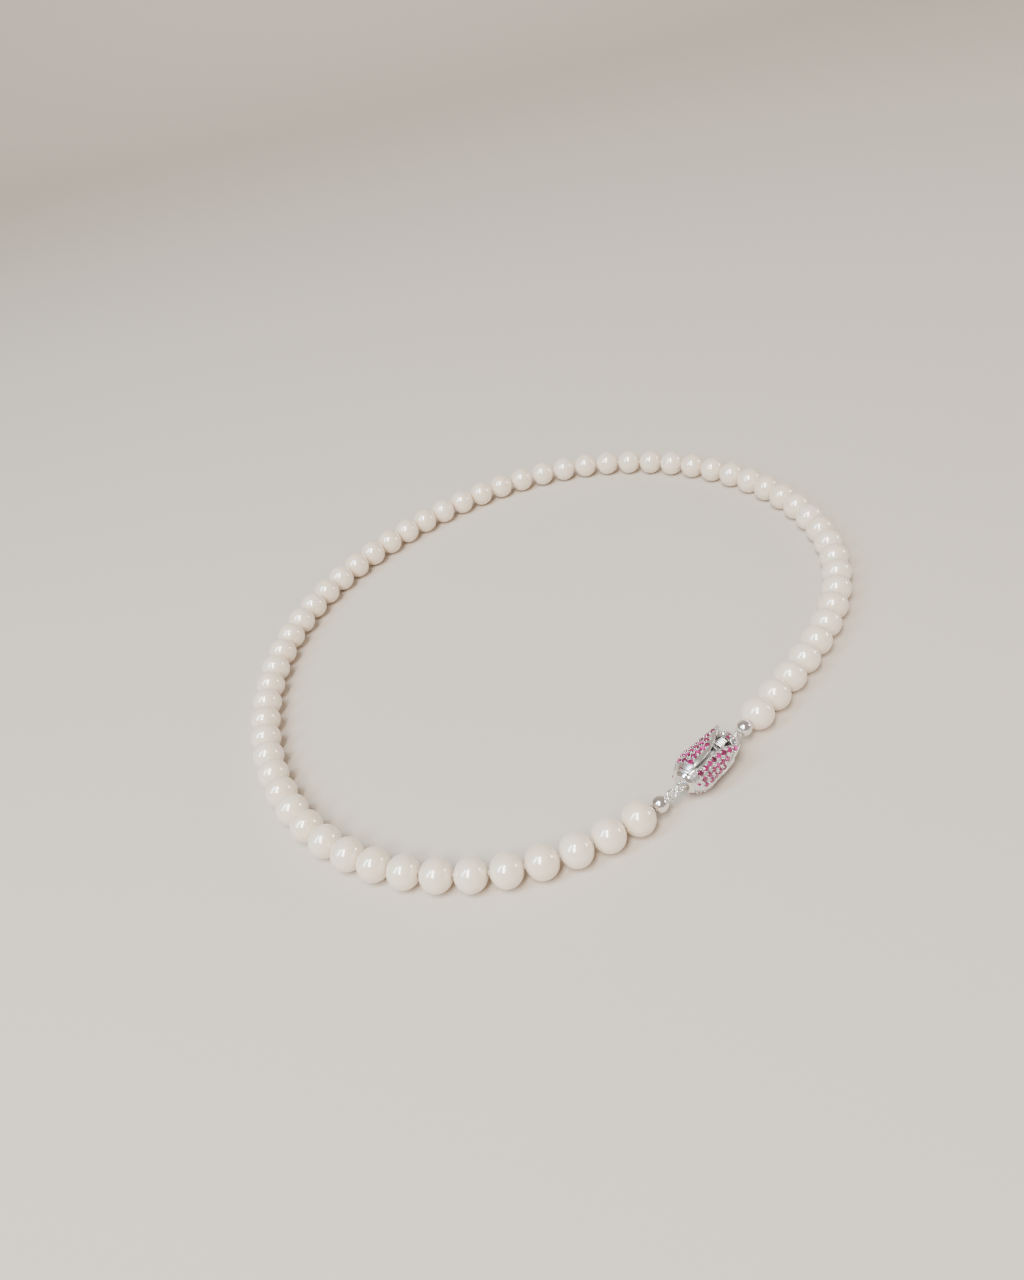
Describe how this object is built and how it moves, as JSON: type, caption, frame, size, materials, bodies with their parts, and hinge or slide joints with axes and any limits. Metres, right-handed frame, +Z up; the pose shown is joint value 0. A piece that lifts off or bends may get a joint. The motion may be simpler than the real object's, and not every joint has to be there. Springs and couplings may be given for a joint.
{
  "type": "pearl necklace",
  "caption": "Single-strand knotted pearl necklace lying closed, with a pave-set tulip clasp: the strand opens at the clasp, and a thumb grip springs its folded tongue.",
  "frame": {"origin": "on the surface that the necklace lies on, under the middle of its bounding box", "axes": "+Z up off the surface, +Y towards the back of the neck, -Y towards the front of the chest"},
  "size_m": [0.1442, 0.1646, 0.0086],
  "materials": {
    "nacre": "satin lustre, warm ivory",
    "silk": "twisted silk thread",
    "silver": "polished silver",
    "satin_silver": "satin rolled sheet",
    "ruby": "polished and faceted"
  },
  "bodies": {
    "strand_01": {"pearls_01": "nacre", "thread_01": "silk"},
    "strand_02": {"pearls_02": "nacre", "thread_02": "silk"},
    "strand_03": {"pearls_03": "nacre", "thread_03": "silk"},
    "strand_04": {"pearls_04": "nacre", "thread_04": "silk"},
    "strand_05": {"pearls_05": "nacre", "thread_05": "silk"},
    "strand_06": {"pearls_06": "nacre", "thread_06": "silk"},
    "strand_07": {"pearls_07": "nacre", "thread_07": "silk"},
    "strand_08": {"pearls_08": "nacre", "thread_08": "silk"},
    "strand_09": {"pearls_09": "nacre", "thread_09": "silk"},
    "strand_10": {"pearls_10": "nacre", "thread_10": "silk"},
    "strand_11": {"pearls_11": "nacre", "thread_11": "silk"},
    "strand_12": {"pearls_12": "nacre", "thread_12": "silk"},
    "strand_13": {"pearls_13": "nacre", "thread_13": "silk"},
    "strand_14": {"pearls_14": "nacre", "thread_14": "silk"},
    "strand_15": {"pearls_15": "nacre", "thread_15": "silk"},
    "strand_16": {"pearls_16": "nacre", "thread_16": "silk"},
    "cup_side_bead": {"cup_side_bead": "silver", "cup_side_bead_eye": "silver", "cup_side_crimp": "silver", "cup_side_thread_end": "silk"},
    "insert_side_bead": {"insert_side_bead": "silver", "insert_side_bead_eye": "silver", "insert_side_crimp": "silver", "insert_side_thread_end": "silk"},
    "cup_side_link": {"cup_side_link": "silver"},
    "cup_side_ring": {"cup_side_ring": "silver"},
    "insert_side_ring": {"insert_side_ring": "silver"},
    "cup": {"calyx": "silver", "cup_eye": "silver", "tongue_channel": "satin_silver", "front_petal": "silver", "top_petal": "silver", "inner_petal": "silver", "under_petal": "silver", "front_petal_rubies": "ruby", "top_petal_rubies": "ruby", "inner_petal_rubies": "ruby", "under_petal_rubies": "ruby"},
    "insert": {"tongue": "satin_silver", "insert_head": "silver", "insert_head_rubies": "ruby", "insert_eye": "silver"},
    "spring_leaf": {"spring_leaf": "satin_silver", "thumb_grip": "silver"}
  },
  "joints": [
    {"name": "strand_08_bend", "type": "hinge", "parent": "strand_09", "child": "strand_08", "pos_m": [-0.0401, 0.05782, 0.00345], "axis": [0, 0, 1], "range_deg": [0, 10.1]},
    {"name": "strand_07_bend", "type": "hinge", "parent": "strand_08", "child": "strand_07", "pos_m": [-0.01833, 0.07324, 0.00345], "axis": [0, 0, 1], "range_deg": [0, 8.1]},
    {"name": "strand_06_bend", "type": "hinge", "parent": "strand_07", "child": "strand_06", "pos_m": [0.00761, 0.07901, 0.00345], "axis": [0, 0, 1], "range_deg": [0, 6.6]},
    {"name": "strand_05_bend", "type": "hinge", "parent": "strand_06", "child": "strand_05", "pos_m": [0.03335, 0.07249, 0.00345], "axis": [0, 0, 1], "range_deg": [0, 5.7]},
    {"name": "strand_04_bend", "type": "hinge", "parent": "strand_05", "child": "strand_04", "pos_m": [0.05387, 0.05555, 0.00345], "axis": [0, 0, 1], "range_deg": [0, 5.7]},
    {"name": "strand_03_bend", "type": "hinge", "parent": "strand_04", "child": "strand_03", "pos_m": [0.06623, 0.03196, 0.00345], "axis": [0, 0, 1], "range_deg": [0, 6.5]},
    {"name": "strand_02_bend", "type": "hinge", "parent": "strand_03", "child": "strand_02", "pos_m": [0.06812, 0.00543, 0.00345], "axis": [0, 0, 1], "range_deg": [0, 7.9]},
    {"name": "strand_01_bend", "type": "hinge", "parent": "strand_02", "child": "strand_01", "pos_m": [0.05923, -0.0197, 0.00345], "axis": [0, 0, 1], "range_deg": [0, 9.7]},
    {"name": "insert_side_bead_swing", "type": "hinge", "parent": "strand_01", "child": "insert_side_bead", "pos_m": [0.04458, -0.04212, 0.00345], "axis": [0, 0, 1], "range_deg": [0, 9.4]},
    {"name": "insert_side_ring_swing", "type": "hinge", "parent": "insert_side_bead", "child": "insert_side_ring", "pos_m": [0.04207, -0.0456, 0.00363], "axis": [0, 0, 1], "range_deg": [0, 7.3]},
    {"name": "insert_swing", "type": "hinge", "parent": "insert_side_ring", "child": "insert", "pos_m": [0.04128, -0.04668, 0.0039], "axis": [0, 0, 1], "range_deg": [0, 7.3]},
    {"name": "strand_open", "type": "hinge", "parent": "strand_09", "child": "strand_10", "pos_m": [-0.05675, 0.03691, 0.00345], "axis": [0, 0, -1], "range_deg": [0, 12]},
    {"name": "strand_11_bend", "type": "hinge", "parent": "strand_10", "child": "strand_11", "pos_m": [-0.06693, 0.01225, 0.00345], "axis": [0, 0, -1], "range_deg": [0, 13.9]},
    {"name": "strand_12_bend", "type": "hinge", "parent": "strand_11", "child": "strand_12", "pos_m": [-0.06815, -0.0144, 0.00345], "axis": [0, 0, -1], "range_deg": [0, 15.5]},
    {"name": "strand_13_bend", "type": "hinge", "parent": "strand_12", "child": "strand_13", "pos_m": [-0.0612, -0.04019, 0.00345], "axis": [0, 0, -1], "range_deg": [0, 16.7]},
    {"name": "strand_14_bend", "type": "hinge", "parent": "strand_13", "child": "strand_14", "pos_m": [-0.04671, -0.06256, 0.00345], "axis": [0, 0, -1], "range_deg": [0, 17.2]},
    {"name": "strand_15_bend", "type": "hinge", "parent": "strand_14", "child": "strand_15", "pos_m": [-0.02433, -0.07679, 0.00345], "axis": [0, 0, -1], "range_deg": [0, 17]},
    {"name": "strand_16_bend", "type": "hinge", "parent": "strand_15", "child": "strand_16", "pos_m": [0.0021, -0.07741, 0.00345], "axis": [0, 0, -1], "range_deg": [0, 15.7]},
    {"name": "cup_side_bead_swing", "type": "hinge", "parent": "strand_16", "child": "cup_side_bead", "pos_m": [0.02538, -0.06462, 0.00345], "axis": [0, 0, -1], "range_deg": [0, 14]},
    {"name": "cup_side_link_swing", "type": "hinge", "parent": "cup_side_bead", "child": "cup_side_link", "pos_m": [0.02853, -0.0617, 0.00363], "axis": [0, 0, -1], "range_deg": [0, 4]},
    {"name": "cup_swing", "type": "hinge", "parent": "cup_side_bead", "child": "cup", "pos_m": [0.02941, -0.06083, 0.00377], "axis": [0, 0, -1], "range_deg": [0, 13.6]},
    {"name": "cup_side_ring_swing", "type": "hinge", "parent": "cup", "child": "cup_side_ring", "pos_m": [0.03035, -0.05987, 0.0039], "axis": [0, 0, 1], "range_deg": [0, 3.8]},
    {"name": "thumb_grip_press", "type": "hinge", "parent": "insert", "child": "spring_leaf", "pos_m": [0.0338, -0.05571, 0.0043], "axis": [-0.7188, 0.5957, 0.3584], "range_deg": [0, 3.5], "stiffness_Nm_per_rad": 0.02}
  ],
  "couplings": [
    {"joint": "strand_08_bend", "follows": "strand_open", "ratio": 0.837},
    {"joint": "strand_07_bend", "follows": "strand_open", "ratio": 0.673},
    {"joint": "strand_06_bend", "follows": "strand_open", "ratio": 0.548},
    {"joint": "strand_05_bend", "follows": "strand_open", "ratio": 0.471},
    {"joint": "strand_04_bend", "follows": "strand_open", "ratio": 0.471},
    {"joint": "strand_03_bend", "follows": "strand_open", "ratio": 0.538},
    {"joint": "strand_02_bend", "follows": "strand_open", "ratio": 0.654},
    {"joint": "strand_01_bend", "follows": "strand_open", "ratio": 0.808},
    {"joint": "insert_side_bead_swing", "follows": "strand_open", "ratio": 0.779},
    {"joint": "insert_side_ring_swing", "follows": "strand_open", "ratio": 0.606},
    {"joint": "insert_swing", "follows": "strand_open", "ratio": 0.606},
    {"joint": "strand_11_bend", "follows": "strand_open", "ratio": 1.154},
    {"joint": "strand_12_bend", "follows": "strand_open", "ratio": 1.288},
    {"joint": "strand_13_bend", "follows": "strand_open", "ratio": 1.385},
    {"joint": "strand_14_bend", "follows": "strand_open", "ratio": 1.433},
    {"joint": "strand_15_bend", "follows": "strand_open", "ratio": 1.413},
    {"joint": "strand_16_bend", "follows": "strand_open", "ratio": 1.308},
    {"joint": "cup_side_bead_swing", "follows": "strand_open", "ratio": 1.163},
    {"joint": "cup_side_link_swing", "follows": "strand_open", "ratio": 0.333},
    {"joint": "cup_swing", "follows": "strand_open", "ratio": 1.125},
    {"joint": "cup_side_ring_swing", "follows": "strand_open", "ratio": 0.309}
  ]
}
